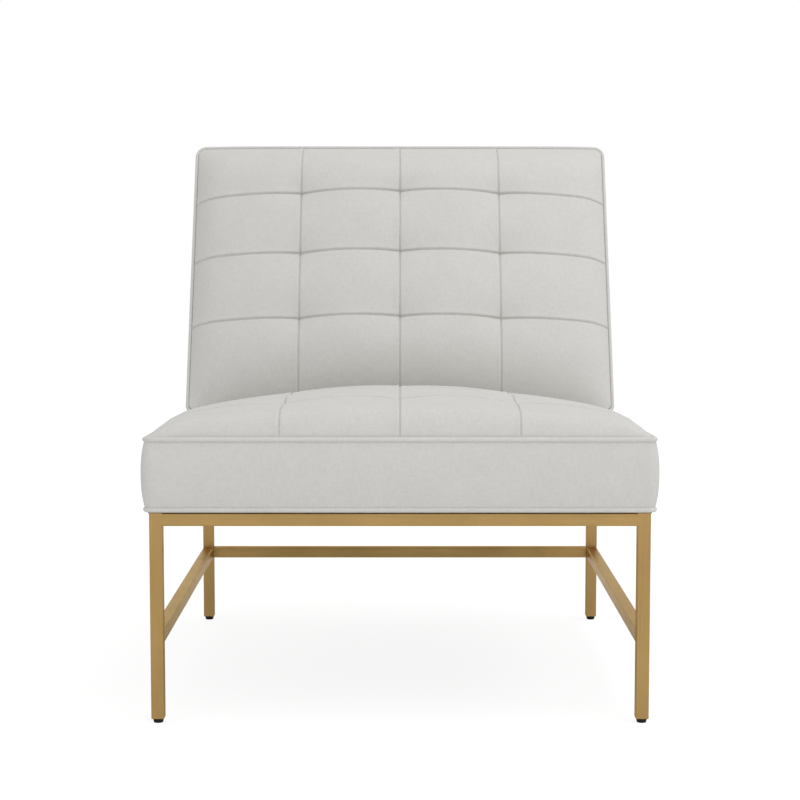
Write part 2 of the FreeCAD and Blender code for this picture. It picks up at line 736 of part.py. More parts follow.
def make_back_cushion():
    """Foam, quilted front, boxing band, rear panel and the two welts."""
    half = back_half_width - back_inset
    columns = [-half, -column_spacing, 0.0, column_spacing, half]
    rows = [back_inset, *back_seams, back_slant - back_inset]

    def height(x, v):
        cells = quilting(x, v, columns, rows, back_pillow, back_pull)
        return back_welt_radius + back_crown_at(x, v) + cells

    front = crowned_pad(columns, rows, height)
    core = foam_crown(half - foam_margin, back_inset + foam_margin, back_slant - back_inset - foam_margin,
                      back_crown_at)
    corners = prism(back_outline(back_inset, back_slant), point(0, 0, back_slant))
    add("back_quilted_front", in_plane(front.common(corners).cut(core), back_plane))

    slab = in_plane(prism(back_outline(back_inset, back_slant, -back_foam_thickness),
                          point(0, 0, back_foam_thickness)), back_plane)
    inside = back_volume(-back_inset, 0.0, 0.0, 0.0)
    add("back_foam", slab.common(inside).fuse(in_plane(core, back_plane)))

    band = back_volume(back_boxing_outset, back_boxing_bulge, back_welt_radius, back_welt_radius)
    hollow = back_volume(-back_welt_radius, 0.0, 0.0, 0.0)
    add("back_boxing", without_brackets(band.cut(hollow)))

    panel = prism(back_outline(back_inset, rear_slant), point(0, 0, rear_panel_thickness))
    add("back_rear_panel", in_plane(panel, rear_plane))
    add("back_front_welt", in_plane(piped(back_outline(0.0, back_slant), back_welt_diameter), back_plane))
    add("back_rear_welt", in_plane(piped(back_outline(0.0, rear_slant), back_welt_diameter), rear_plane))


def export():
    """Move every piece so that the origin is the bottom centre of the chair, and write the files."""
    os.makedirs("parts", exist_ok=True)
    for name, shape in nodes.items():
        shape.translate(point(0, -centre_y, 0))
        shape.exportStep("parts/" + name + ".step")
        print(name, len(shape.Solids), round(shape.Volume), shape.isValid())


make_base()
make_seat_fixings()
make_feet()
make_brackets()
make_seat_frame()
make_suspension()
make_seat_cushion()
make_back_frame()
make_back_cushion()
export()
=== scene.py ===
"""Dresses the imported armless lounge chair: sewn cushions, boxing, piping, linings and brushed metal."""

import math

import bpy
import numpy as np
from bpy.props import FloatProperty, FloatVectorProperty, IntProperty, PointerProperty
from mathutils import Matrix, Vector, noise


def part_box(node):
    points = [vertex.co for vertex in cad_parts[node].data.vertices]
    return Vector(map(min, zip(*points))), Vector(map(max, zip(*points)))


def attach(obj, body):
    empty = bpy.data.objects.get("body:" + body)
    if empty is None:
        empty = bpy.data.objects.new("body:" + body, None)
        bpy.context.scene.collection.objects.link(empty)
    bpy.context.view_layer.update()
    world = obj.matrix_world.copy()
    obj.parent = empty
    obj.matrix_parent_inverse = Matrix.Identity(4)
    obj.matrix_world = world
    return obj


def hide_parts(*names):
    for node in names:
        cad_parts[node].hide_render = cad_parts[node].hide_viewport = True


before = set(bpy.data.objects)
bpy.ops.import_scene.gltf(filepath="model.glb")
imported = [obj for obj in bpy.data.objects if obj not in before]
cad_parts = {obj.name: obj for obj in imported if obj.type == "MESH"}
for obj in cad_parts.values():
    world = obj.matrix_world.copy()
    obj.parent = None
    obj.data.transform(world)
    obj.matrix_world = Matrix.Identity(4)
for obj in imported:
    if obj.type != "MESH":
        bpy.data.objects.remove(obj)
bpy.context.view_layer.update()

bl_info = {
    "name": "Armless lounge chair",
    "version": (1, 0, 0),
    "blender": (4, 5, 0),
    "location": "View3D > Sidebar > Chair",
    "description": "Makes the cushions, piping and finishes of an armless lounge chair on its frame",
    "category": "Object",
}

BODY = "chair"


# Sizes and finishes that a user would change


def length(label, about, default):
    return FloatProperty(name=label, description=about, default=default, unit="LENGTH", precision=5)


def angle(label, about, default):
    return FloatProperty(name=label, description=about, default=default, subtype="ANGLE")


def power(label, about, default):
    return FloatProperty(name=label, description=about, default=default, unit="POWER")


def share(label, about, default):
    return FloatProperty(name=label, description=about, default=default, min=0.0, max=1.0,
                         subtype="FACTOR")


def three_lengths(label, about, default):
    return FloatVectorProperty(name=label, description=about, default=default, size=3, unit="LENGTH")


def tint(label, about, default):
    return FloatVectorProperty(name=label, description=about, default=default, size=3, min=0.0, max=1.0,
                               subtype="COLOR")


class SeatSizes(bpy.types.PropertyGroup):
    """The boxed seat."""

    front_y: length("Front", "Centre line of the front welt, in the row frame", -0.396136)
    welt_height: length("Welt height", "Centre line of the top welt at the front", 0.3855)
    bottom_welt_height: length("Bottom welt height", "Centre line of the bottom welt", 0.29115)
    pitch: angle("Pitch", "How far the seat falls towards the back", math.radians(1.78))
    half_width: length("Half width", "From the middle to the centre line of a side welt", 0.34015)
    length: length("Length", "Between the front and rear welts, along the slope", 0.70564)
    plan_length: length("Plan length", "The same length, measured level", 0.7053)
    welt: length("Welt", "Diameter of the welts", 0.0067)
    corner: length("Corner", "Radius of the welts' corners", 0.009)
    inset: length("Inset", "From a welt's centre line to the cushion's side", 0.00365)
    crown: length("Crown", "Rise of the top's middle", 0.0544)
    side_sag: share("Side sag", "Share of the crown lost in a dome from side to side", 0.73)
    end_sag: share("End sag", "Share of the crown lost in a dome from front to rear", 0.37)
    side_tilt: share("Side tilt", "How far forward the crown lies at the sides", 0.35)
    side_run: length("Side run", "Width over which the sides roll up", 0.090)
    front_run: length("Front run", "Depth over which the front rolls up", 0.0263)
    rear_run: length("Rear run", "Depth over which the top falls into the crease", 0.140)
    pull: length("Pull", "How far crossing seams hold the cover down", 0.0074)
    pillow: length("Pillow", "Rise of a cell over its seams", 0.0014)
    column: length("Column", "From the middle seam to the next one", 0.1612)
    seams: three_lengths("Cross seams", "From the front welt to each cross seam", (0.126, 0.249, 0.371))
    crease: length("Crease", "From the front welt to the crease under the back", 0.49549)
    deck: length("Deck", "Thickness of the cloth behind the crease", 0.003)
    core_bottom: length("Core bottom", "Underside of the foam on its felt", 0.3446)
    outset: length("Boxing outset", "How far the boxing starts outside the welts' centre line", 0.001)
    bulge: length("Boxing bulge", "How far the boxing swells at mid height", 0.0051)


class BackSizes(bpy.types.PropertyGroup):
    """The leaning boxed back."""

    base_y: length("Base", "Centre line of the front welt's lowest run, in the row frame", 0.104514)
    base_z: length("Base height", "Its height", 0.375843)
    rear_y: length("Rear base", "Centre line of the rear welt's lowest run", 0.305514)
    rear_z: length("Rear base height", "Its height", 0.369596)
    lean: angle("Lean", "Lean of the front", math.radians(24.4))
    rear_lean: angle("Rear lean", "Lean of the rear panel", 0.239339)
    slant: length("Slant", "Length of the front between its welts", 0.4675)
    rear_slant: length("Rear slant", "Length of the rear panel between its welts", 0.397041)
    half_width: length("Half width", "From the middle to the centre line of a side welt", 0.3397)
    welt: length("Welt", "Diameter of the welts", 0.0052)
    corner: length("Corner", "Radius of the welts' lower corners", 0.010)
    top_corner: length("Top corner", "Radius of the welts' upper corners", 0.0155)
    droop: length("Droop", "How far the top edge falls at its ends", 0.002)
    inset: length("Inset", "From a welt's centre line to the cushion's side", 0.0029)
    crown: length("Crown", "Rise of the front's middle", 0.0656)
    side_sag: share("Side sag", "Share of the crown lost in a dome from side to side", 0.65)
    side_run: length("Side run", "Width over which the sides roll up", 0.097)
    bottom_run: length("Bottom run", "Height over which the bottom rises", 0.140)
    top_run: length("Top run", "Height over which the top rises", 0.110)
    pull: length("Pull", "How far crossing seams hold the cover down", 0.0133)
    pillow: length("Pillow", "Rise of a cell over its seams", 0.004)
    column: length("Column", "From the middle seam to the next one", 0.1612)
    seams: three_lengths("Cross seams", "Heights of the cross seams up the slant",
                         (0.1402, 0.2534, 0.3597))
    foam: length("Foam", "Thickness of the foam behind the front", 0.040)
    outset: length("Boxing outset", "How far the boxing starts outside the welts' centre line", 0.0008)
    bulge: length("Boxing bulge", "How far the sides and top swell", 0.003)


class SewingSizes(bpy.types.PropertyGroup):
    """Seams and stitches."""

    groove: length("Groove", "Depth of a seam's narrow valley", 0.0022)
    groove_width: length("Groove width", "Half width of that valley", 0.0011)
    lap: length("Lap", "How far the seam allowance raises the cloth beside a seam", 0.0014)
    lap_width: length("Lap width", "Width of that raised strip", 0.0055)
    stitch: length("Stitch", "Length of one stitch", 0.0030)
    stitch_pitch: length("Stitch pitch", "From one stitch to the next", 0.0042)
    thread: length("Thread", "Thickness of the thread", 0.0006)


class FabricFinish(bpy.types.PropertyGroup):
    """The woven cover."""

    colour: tint("Colour", "Colour of the cloth", (0.62, 0.61, 0.585))
    thread_pitch: length("Thread pitch", "From one thread to the next", 0.0009)
    contrast: share("Contrast", "Difference between pale and dark threads", 0.09)
    bump: length("Bump", "Height of the weave", 0.00015)


class MetalFinish(bpy.types.PropertyGroup):
    """The brushed gold frame."""

    colour: tint("Colour", "Colour of the metal", (0.46, 0.299, 0.115))
    roughness: share("Roughness", "Roughness along the brushing", 0.32)
    scratch: length("Scratch", "Height of the brushing's scratches", 0.00022)
    edge: tint("Edge", "Tint of what the metal mirrors at a glancing angle", (0.80, 0.70, 0.52))


class StageSizes(bpy.types.PropertyGroup):
    """Camera and light."""

    lens: FloatProperty(name="Lens", description="Focal length in millimetres", default=84.015)
    distance: length("Distance", "From the row frame's middle to the camera, along Y", 2.8612)
    height: length("Height", "Height of the camera", 0.6579)
    pitch: angle("Pitch", "How far the camera looks down", math.radians(5.087))
    dome: FloatProperty(name="Dome", description="Strength of the light from all round", default=0.725)
    lamp: power("Lamp", "Power of the large soft lamp overhead", 37.0)
    fill: power("Fill", "Power of the large soft lamp in front", 13.6)
    seed: IntProperty(name="Seed", description="Seed of the uneven piping and stitches", default=7)


# Small helpers


def plane_at(y, z, angle):
    """Origin, direction up the slope and normal of a plane that climbs at an angle."""
    along = np.array([0.0, math.cos(angle), math.sin(angle)])
    normal = np.array([0.0, -math.sin(angle), math.cos(angle)])
    return np.array([0.0, y, z]), along, normal


def placed(plane, across, along, out):
    """Points in the row frame of places across, along and out of a plane."""
    origin, direction, normal = plane
    points = origin + np.multiply.outer(along, direction) + np.multiply.outer(out, normal)
    points[..., 0] += across
    return points


def outline_at(plane, outline, out=0.0):
    """Points of a flat outline laid on a plane, or out from it."""
    return placed(plane, outline[:, 0], outline[:, 1], np.full(len(outline), out))


def seat_plane(seat):
    return plane_at(seat.front_y, seat.welt_height, -seat.pitch)


def back_plane(back):
    return plane_at(back.base_y, back.base_z, math.pi / 2 - back.lean)


def rear_plane(back):
    return plane_at(back.rear_y, back.rear_z, math.pi / 2 - back.rear_lean)


def rounded(half, low, high, radius, spacing=0.008, turn=8, high_radius=None):
    """Points round a rounded rectangle, counter-clockwise, and the outward direction at each."""
    points, outward = [], []
    upper = high_radius or radius
    corners = [(half - radius, low + radius, radius), (half - upper, high - upper, upper),
               (upper - half, high - upper, upper), (radius - half, low + radius, radius)]
    for i, (cx, cy, bend) in enumerate(corners):
        start = math.pi / 2 * (i - 1)
        nx, ny, next_bend = corners[(i + 1) % 4]
        for k in range(turn + 1):
            a = start + math.pi / 2 * k / turn
            outward.append((math.cos(a), math.sin(a)))
            points.append((cx + bend * math.cos(a), cy + bend * math.sin(a)))
        end = outward[-1]
        first = np.array(points[-1])
        last = np.array([nx + next_bend * end[0], ny + next_bend * end[1]])
        count = max(2, round(float(np.linalg.norm(last - first)) / spacing))
        for k in range(1, count):
            outward.append(end)
            points.append(tuple(first + (last - first) * k / count))
    return np.array(points), np.array(outward)


def drooped(across, along, back, slant):
    """Places up the back's panels lowered towards the ends of the top edge."""
    near_top = np.clip(along / slant, 0.0, None) ** 6
    return along - back.droop * np.minimum(1.0, np.abs(across) / back.half_width) ** 8 * near_top


def droop_outline(outline, back, slant):
    """A back panel's outline with the ends of its top edge lowered."""
    return np.column_stack([outline[:, 0], drooped(outline[:, 0], outline[:, 1], back, slant)])


def new_piece(name, vertices, faces, material, pattern=None, smooth=True):
    """Mesh object in the scene; pattern is a flat cloth coordinate in metres for each vertex."""
    mesh = bpy.data.meshes.new(name)
    mesh.from_pydata(np.asarray(vertices, float).reshape(-1, 3).tolist(), [], faces)
    if pattern is not None:
        layer = mesh.uv_layers.new(name="pattern")
        loops = np.empty(len(mesh.loops), np.int32)
        mesh.loops.foreach_get("vertex_index", loops)
        layer.data.foreach_set("uv", np.asarray(pattern, float)[loops].astype(np.float32).ravel())
    mesh.materials.append(material)
    mesh.shade_smooth() if smooth else mesh.shade_flat()
    mesh.validate()
    piece = bpy.data.objects.new(name, mesh)
    bpy.context.scene.collection.objects.link(piece)
    return piece


def sweep_faces(rows, columns, close_rows=False, close_columns=False):
    """Quads of a grid of points that are numbered row by row."""
    faces = []
    for i in range(rows if close_rows else rows - 1):
        for j in range(columns if close_columns else columns - 1):
            k, above = (j + 1) % columns, (i + 1) % rows
            faces.append((i * columns + j, i * columns + k, above * columns + k, above * columns + j))
    return faces


def edge_ring(rows, columns):
    """Numbers of a grid's outermost points, in order round it."""
    grid = np.arange(rows * columns).reshape(rows, columns)
    return np.concatenate([grid[0, :-1], grid[:-1, -1], grid[-1, :0:-1], grid[:0:-1, 0]])


def waviness(points, scale, seed):
    """Slow random rise and fall between -1 and 1 at each point."""
    shift = Vector((seed * 3.1, seed * 1.7, seed * 2.3))
    return np.array([noise.noise(Vector(p) * scale + shift) for p in np.asarray(points).reshape(-1, 3)])


def declare_sewn(piece, fill, *nodes):
    """Attaches a sewn piece to the chair and hides the soft nodes that it stands for."""
    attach(piece, BODY)
    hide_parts(*nodes)


# Materials


def new_material(name):
    material = bpy.data.materials.new(name)
    material.use_nodes = True
    return material, material.node_tree


def set_sockets(tree, node, inputs):
    """Links a node's inputs to sockets, and sets the others to constants."""
    for key, value in inputs.items():
        if isinstance(value, bpy.types.NodeSocket):
            tree.links.new(value, node.inputs[key])
        else:
            node.inputs[key].default_value = value


def add_node(tree, kind, inputs=None, **settings):
    made = tree.nodes.new(kind)
    for key, value in settings.items():
        setattr(made, key, value)
    set_sockets(tree, made, inputs or {})
    return made


def finished(material, sockets, height=None, distance=0.0, strength=1.0):
    """The material with its surface's inputs set and, where a height is given, its bumps."""
    tree = material.node_tree
    if height is not None:
        bumps = add_node(tree, "ShaderNodeBump", {"Height": height, "Distance": distance,
                                                  "Strength": strength})
        sockets["Normal"] = bumps.outputs["Normal"]
    set_sockets(tree, tree.nodes["Principled BSDF"], sockets)
    return material


def calculate(tree, operation, a, b):
    return add_node(tree, "ShaderNodeMath", {0: a, 1: b}, operation=operation).outputs[0]


def weighted(tree, *terms):
    """Sum of values, each times its weight."""
    (value, weight), *rest = terms
    part = calculate(tree, "MULTIPLY", value, weight)
    return calculate(tree, "ADD", part, weighted(tree, *rest)) if rest else part


def drawn_out(along, slow, fast):
    """Scale of noise that is drawn out along one axis."""
    return [slow if axis == along else fast for axis in range(3)]


def grain(tree, coordinates, scale, detail=2.0, roughness=0.5):
    """Noise value from 0 to 1, at one scale or at one for each axis."""
    if not isinstance(scale, float):
        scaling = add_node(tree, "ShaderNodeVectorMath", {0: coordinates, 1: scale}, operation="MULTIPLY")
        coordinates, scale = scaling.outputs[0], 1.0
    return add_node(tree, "ShaderNodeTexNoise", {
        "Vector": coordinates, "Scale": scale, "Detail": detail, "Roughness": roughness}).outputs["Fac"]


def between(tree, factor, dark, pale, spread=0.2):
    """Colour between two, as a value goes through a spread to each side of a half."""
    ramp = add_node(tree, "ShaderNodeValToRGB", {"Fac": factor})
    for stop, position, colour in zip(ramp.color_ramp.elements, (0.5 - spread, 0.5 + spread), (dark, pale)):
        stop.position = position
        stop.color = (*colour, 1.0)
    return ramp.outputs["Color"]


def ranged(tree, value, low_to, high_to, low=0.3, high=0.7):
    """A value's range carried over to another."""
    return add_node(tree, "ShaderNodeMapRange", {
        "Value": value, "From Min": low, "From Max": high, "To Min": low_to,
        "To Max": high_to}).outputs["Result"]


def shaded(colour, amount):
    return tuple(max(0.0, min(1.0, c * amount)) for c in colour)


def object_coordinates(tree):
    return add_node(tree, "ShaderNodeTexCoord").outputs["Object"]


def woven_cover(name, finish, sewn):
    """Plain weave of uneven threads, which follows the cloth's own coordinates where it is sewn flat."""
    material, tree = new_material(name)
    if sewn:
        coordinates = add_node(tree, "ShaderNodeUVMap", uv_map="pattern").outputs["UV"]
    else:
        coordinates = object_coordinates(tree)
    threads = 1.0 / finish.thread_pitch
    slub = threads * 0.06
    warp = grain(tree, coordinates, (threads, slub, slub), detail=1.0)
    weft = grain(tree, coordinates, (slub, threads, threads), detail=1.0)
    weave = weighted(tree, (warp, 0.5), (weft, 0.5))
    heather = grain(tree, coordinates, scale=170.0, detail=3.0, roughness=0.6)
    cloud = grain(tree, coordinates, scale=22.0)
    tone = weighted(tree, (weave, 0.55), (heather, 0.3), (cloud, 0.15))
    return finished(material, {
        "Base Color": between(tree, tone, shaded(finish.colour, 1 - finish.contrast),
                              shaded(finish.colour, 1 + finish.contrast)),
        "Roughness": ranged(tree, weave, 0.95, 0.82), "Specular IOR Level": 0.25,
        "Sheen Weight": 0.12, "Sheen Roughness": 0.5}, weave, finish.bump)


def brushed_metal(name, finish, along):
    """Satin metal whose fine scratches run along one axis of the row frame."""
    material, tree = new_material(name)
    coordinates = object_coordinates(tree)
    brush = grain(tree, coordinates, drawn_out(along, 9.0, 1700.0), detail=3.0, roughness=0.6)
    patina = grain(tree, coordinates, scale=16.0, detail=3.0)
    tone = weighted(tree, (brush, 0.6), (patina, 0.4))
    spread = add_node(tree, "ShaderNodeCombineXYZ", {axis: float(axis != along) for axis in range(3)})
    return finished(material, {
        "Base Color": between(tree, tone, shaded(finish.colour, 0.88), shaded(finish.colour, 1.10)),
        "Roughness": ranged(tree, tone, finish.roughness + 0.06, finish.roughness - 0.06),
        "Metallic": 1.0, "Specular Tint": (*finish.edge, 1.0), "Anisotropic": 0.9,
        "Tangent": spread.outputs[0]}, brush, finish.scratch)


def plain_metal(name, colour, roughness, marks):
    """Plated or drawn steel with faint marks."""
    material, tree = new_material(name)
    spots = grain(tree, object_coordinates(tree), scale=marks, detail=4.0)
    return finished(material, {
        "Base Color": between(tree, spots, shaded(colour, 0.8), shaded(colour, 1.1)),
        "Roughness": ranged(tree, spots, roughness + 0.08, roughness - 0.08),
        "Metallic": 1.0}, spots, 0.00005, 0.4)


def moulded_nylon(name):
    """Black moulded nylon with a fine spark texture."""
    material, tree = new_material(name)
    texture = grain(tree, object_coordinates(tree), scale=2600.0)
    return finished(material, {
        "Base Color": between(tree, texture, (0.008,) * 3, (0.016,) * 3),
        "Roughness": ranged(tree, texture, 0.65, 0.55), "Specular IOR Level": 0.2}, texture, 0.00005, 0.6)


def sawn_hardwood(name, along):
    """Planed hardwood whose grain runs along one axis of the row frame."""
    material, tree = new_material(name)
    coordinates = object_coordinates(tree)
    rings = grain(tree, coordinates, drawn_out(along, 3.0, 60.0), detail=4.0, roughness=0.6)
    pores = grain(tree, coordinates, drawn_out(along, 240.0, 720.0))
    tone = weighted(tree, (rings, 0.75), (pores, 0.25))
    return finished(material, {
        "Base Color": between(tree, tone, (0.33, 0.19, 0.09), (0.58, 0.40, 0.22), spread=0.15),
        "Roughness": ranged(tree, pores, 0.75, 0.6)}, tone, 0.0003, 0.5)


def pressed_fibre(name, dark, pale, scale, bump):
    """Felt or lining: matted fibres with no direction."""
    material, tree = new_material(name)
    coordinates = object_coordinates(tree)
    cells = add_node(tree, "ShaderNodeTexVoronoi", {"Vector": coordinates, "Scale": scale})
    fibres = grain(tree, coordinates, scale=scale * 0.7, detail=4.0, roughness=0.65)
    tone = weighted(tree, (cells.outputs["Distance"], 0.4), (fibres, 0.6))
    return finished(material, {"Base Color": between(tree, tone, dark, pale), "Roughness": 0.95,
                               "Sheen Weight": 0.1}, tone, bump)


def elastic_webbing(name):
    """Upholsterer's elastic strap: ribs across it and woven stripes."""
    material, tree = new_material(name)
    coordinates = object_coordinates(tree)
    ribs = grain(tree, coordinates, (1100.0, 160.0, 160.0), detail=1.0)
    stripes = grain(tree, coordinates, (3.0, 60.0, 60.0), detail=0.0)
    tone = weighted(tree, (ribs, 0.5), (stripes, 0.5))
    return finished(material, {
        "Base Color": between(tree, tone, (0.10, 0.09, 0.075), (0.34, 0.31, 0.26), spread=0.15),
        "Roughness": 0.85}, ribs, 0.0003)


COVERS = {}


def cover(kind):
    """The woven cover's material, made once for sewn panels and once for narrow piping."""
    if kind not in COVERS:
        COVERS[kind] = woven_cover("woven_" + kind, bpy.context.scene.chair_fabric, kind == "panel")
    return COVERS[kind]


# Quilted panels

HOLD = 0.835            # how sharply a crossing's pull fades along its seams
TUCK_WIDTH = 0.0022     # strip beside a welt where a panel is drawn in
PANEL_WANDER = 0.0007   # unevenness of a quilted panel
WANDER_FADE = 0.03      # distance from the edge over which it comes in
SIDE_LEVELS = 4         # rows of faces down a cushion's sides


def rise(distance, run, power):
    """Share of the full crown at a distance from a sewn edge: 0 on the edge, 1 past the run."""
    return 1.0 - np.clip(1.0 - distance / run, 0.0, 1.0) ** power


def cell_bump(value, lines):
    """0 on a seam and 1 halfway between two of them."""
    index = np.clip(np.searchsorted(lines, value, side="right") - 1, 0, len(lines) - 2)
    low, high = np.asarray(lines)[index], np.asarray(lines)[index + 1]
    s = np.clip((value - low) / (high - low), 0.0, 1.0)
    return 4 * s * (1 - s)


def freed(value, lines):
    """0 on an inner seam and 1 halfway to the next, and past the middle of an outer cell."""
    first, last = (lines[0] + lines[1]) / 2, (lines[-2] + lines[-1]) / 2
    return np.where((value < first) | (value > last), 1.0, cell_bump(value, lines) ** HOLD)


def grid_lines(lines, beside=(0.0008, 0.0016, 0.0026, 0.0040, 0.0062, 0.0095), coarse=0.0075):
    """Grid lines that lie closer together beside each sewn line."""
    made = []
    for low, high in zip(lines, lines[1:]):
        inner_low, inner_high = low + beside[-1], high - beside[-1]
        count = max(2, round((inner_high - inner_low) / coarse))
        made.append(low)
        made += [low + d for d in beside[:-1]]
        made += list(np.linspace(inner_low, inner_high, count + 1))
        made += [high - d for d in beside[-2::-1]]
    made.append(lines[-1])
    return np.array(made)


def round_corners(across, along, half, low, high, radius, high_radius=None):
    """Grid places with the corners of the rectangle drawn in to a radius."""
    middle, reach = (low + high) / 2, (high - low) / 2
    radius = np.where(along > middle, high_radius or radius, radius)
    dx = np.abs(across) - (half - radius)
    dy = np.abs(along - middle) - (reach - radius)
    both = (dx > 0) & (dy > 0)
    longest = np.maximum(dx, dy)
    scale = np.where(both, longest / np.maximum(np.hypot(dx, dy), 1e-9), 1.0)
    new_across = np.where(both, np.sign(across) * (half - radius + dx * scale), across)
    new_along = np.where(both, middle + np.sign(along - middle) * (reach - radius + dy * scale), along)
    return new_across, new_along


def quilted_height(across, along, panel):
    """Height of a quilted panel over its plane without the narrow valleys of the seams."""
    columns, rows = panel["columns"], panel["rows"]
    quilted = along < rows[-1]
    plump = cell_bump(across, columns) * cell_bump(along, rows) * quilted
    held = (1 - freed(across, columns)) * (1 - freed(along, rows)) * quilted
    return panel["edge"] + panel["crown"](across, along) + panel["pillow"] * plump - panel["pull"] * held


def seam_valley(across, along, panel, sewing):
    """How far the cloth stands out or is drawn in along the seams. The seam allowance lies under the
    cloth on one side, left of an upright seam and beyond a cross seam, and raises that side."""
    drawn, raised = np.zeros(across.shape), np.zeros(across.shape)
    for value, seams, side in ((across, panel["columns"][1:-1], -1), (along, panel["rows"][1:-1], 1)):
        for seam in seams:
            away = (value - seam) * side
            width = np.where(away > 0, 1.5, 0.7) * sewing.groove_width
            drawn = np.maximum(drawn, np.exp(-(away / width) ** 2))
            lap = np.where(away > 0, np.exp(-(away / sewing.lap_width) ** 2), 0.0)
            raised = np.maximum(raised, lap)
    sewn = sewing.lap * raised * (1 - drawn) - sewing.groove * drawn
    return sewn * (along < panel["rows"][-1])


def on_cover(plane, across, along, height, depth, slopes):
    """Points of a cover raised from its plane by its height, then along its own normal by a depth."""
    steep = np.sqrt(1 + slopes[0] ** 2 + slopes[1] ** 2)
    return placed(plane, across - slopes[0] / steep * depth, along - slopes[1] / steep * depth,
                  height + depth / steep)


def cover_slopes(across, along, panel, step=0.0003):
    """Slope of a quilted panel's height across and along."""
    ahead = quilted_height(across + step, along, panel), quilted_height(across, along + step, panel)
    behind = quilted_height(across - step, along, panel), quilted_height(across, along - step, panel)
    return [(after - before) / (2 * step) for after, before in zip(ahead, behind)]


def cloth_coordinates(points):
    """Flat coordinates of a grid of points, measured over the surface so that the weave stays even."""
    across = np.cumsum(np.linalg.norm(np.diff(points, axis=1, prepend=points[:, :1]), axis=2), axis=1)
    along = np.cumsum(np.linalg.norm(np.diff(points, axis=0, prepend=points[:1]), axis=2), axis=0)
    across = across - across[:, [across.shape[1] // 2]]
    return np.stack([across.ravel(), along.ravel()], axis=1)


def quilted_cushion(name, panel, plane, sewing, base_points, material):
    """Closed cushion: a quilted top on a rounded outline, sides, and a flat base."""
    columns, rows = panel["columns"], panel["rows"]
    xs = grid_lines(columns)
    vs = grid_lines(rows)
    if panel["end"] > rows[-1]:
        vs = np.concatenate([vs, np.linspace(rows[-1], panel["end"], 12)[1:]])
    across, along = np.meshgrid(xs, vs)
    height = quilted_height(across, along, panel)
    sewn, slopes = seam_valley(across, along, panel, sewing), cover_slopes(across, along, panel)
    edge = np.minimum(columns[-1] - np.abs(across), along - rows[0])
    edge = np.minimum(edge, panel["end"] - along)
    height = height - panel["tuck"] * np.exp(-(edge / TUCK_WIDTH) ** 2)
    sewn = sewn * (edge > 0)
    flat = cloth_coordinates(placed(plane, across, along, height))
    across, along = round_corners(across, along, columns[-1], rows[0], panel["end"], *panel["corners"])
    along = panel["settled"](across, along)
    vertices = on_cover(plane, across, along, height, sewn, slopes).reshape(-1, 3)
    wander = waviness(vertices, 9.0, 3) + 0.4 * waviness(vertices, 30.0, 5)
    inner = np.clip(edge.ravel() / WANDER_FADE, 0, 1)
    vertices = vertices + np.multiply.outer(wander * inner * PANEL_WANDER, plane[2])
    faces = sweep_faces(*across.shape)
    ring = edge_ring(*across.shape)
    base = base_points(vertices[ring], across.ravel()[ring], along.ravel()[ring])
    pattern, layers = [flat], [ring]
    for k in range(1, SIDE_LEVELS + 1):
        s = k / SIDE_LEVELS
        layers.append(np.arange(len(vertices), len(vertices) + len(ring)))
        vertices = np.vstack([vertices, vertices[ring] * (1 - s) + base * s])
        pattern.append(flat[ring] * (1 + 0.02 * k))
    for upper, lower in zip(layers, layers[1:]):
        for j in range(len(ring)):
            k = (j + 1) % len(ring)
            faces.append((upper[j], lower[j], lower[k], upper[k]))
    faces.append(layers[-1][::-1])
    faces = [tuple(int(i) for i in face) for face in faces]
    return new_piece(name, vertices, faces, material, np.vstack(pattern))


def seat_panel(seat):
    half, low = seat.half_width - seat.inset, seat.inset
    middle, reach = (low + seat.crease) / 2, (seat.crease - low) / 2

    def crown(x, v):
        across = (1 - seat.side_sag * (x / half) ** 2) * rise(half - np.abs(x), seat.side_run, power=7.9)
        forward = 1 - seat.side_tilt * (x / half) ** 2 * (v - middle) / reach
        along = forward * (1 - seat.end_sag * ((v - middle) / reach) ** 2)
        front = rise(v - low, seat.front_run, power=4.8)
        return seat.crown * across * along * (front * rise(seat.crease - v, seat.rear_run, power=2.5))

    return {
        "columns": [-half, -seat.column, 0.0, seat.column, half],
        "rows": [low, *seat.seams, seat.crease],
        "end": seat.length - seat.inset,
        "corners": (seat.corner - seat.inset,),
        "settled": lambda x, v: v,
        "pull": seat.pull,
        "pillow": seat.pillow,
        "edge": seat.deck,
        "tuck": 0.0,
        "crown": crown,
    }


def back_panel(back):
    half, low, high = back.half_width - back.inset, back.inset, back.slant - back.inset

    def crown(x, v):
        across = (1 - back.side_sag * (x / half) ** 2) * rise(half - np.abs(x), back.side_run, power=6.0)
        bottom = rise(v - low, back.bottom_run, power=2.5)
        return back.crown * across * bottom * rise(high - v, back.top_run, power=3.0)

    return {
        "columns": [-half, -back.column, 0.0, back.column, half],
        "rows": [low, *back.seams, high],
        "end": high,
        "corners": (back.corner - back.inset, back.top_corner - back.inset),
        "settled": lambda x, v: drooped(x, v, back, back.slant),
        "pull": back.pull,
        "pillow": back.pillow,
        "edge": back.welt / 2,
        "tuck": 0.0002,
        "crown": crown,
    }


class CHAIR_OT_seat_cushion(bpy.types.Operator):
    """Make the quilted seat cushion with its foam"""

    bl_idname = "chair.seat_cushion"
    bl_label = "Seat cushion"

    def execute(self, context):
        scene = context.scene
        seat = scene.chair_seat

        def level_base(ring, across, along):
            base = ring.copy()
            base[:, 2] = seat.core_bottom
            return base

        piece = quilted_cushion("seat_cushion", seat_panel(seat), seat_plane(seat), scene.chair_sewing,
                                level_base, cover("panel"))
        declare_sewn(piece, 0.8, "seat_quilted_top", "seat_foam", "seat_deck_cloth")
        return {"FINISHED"}


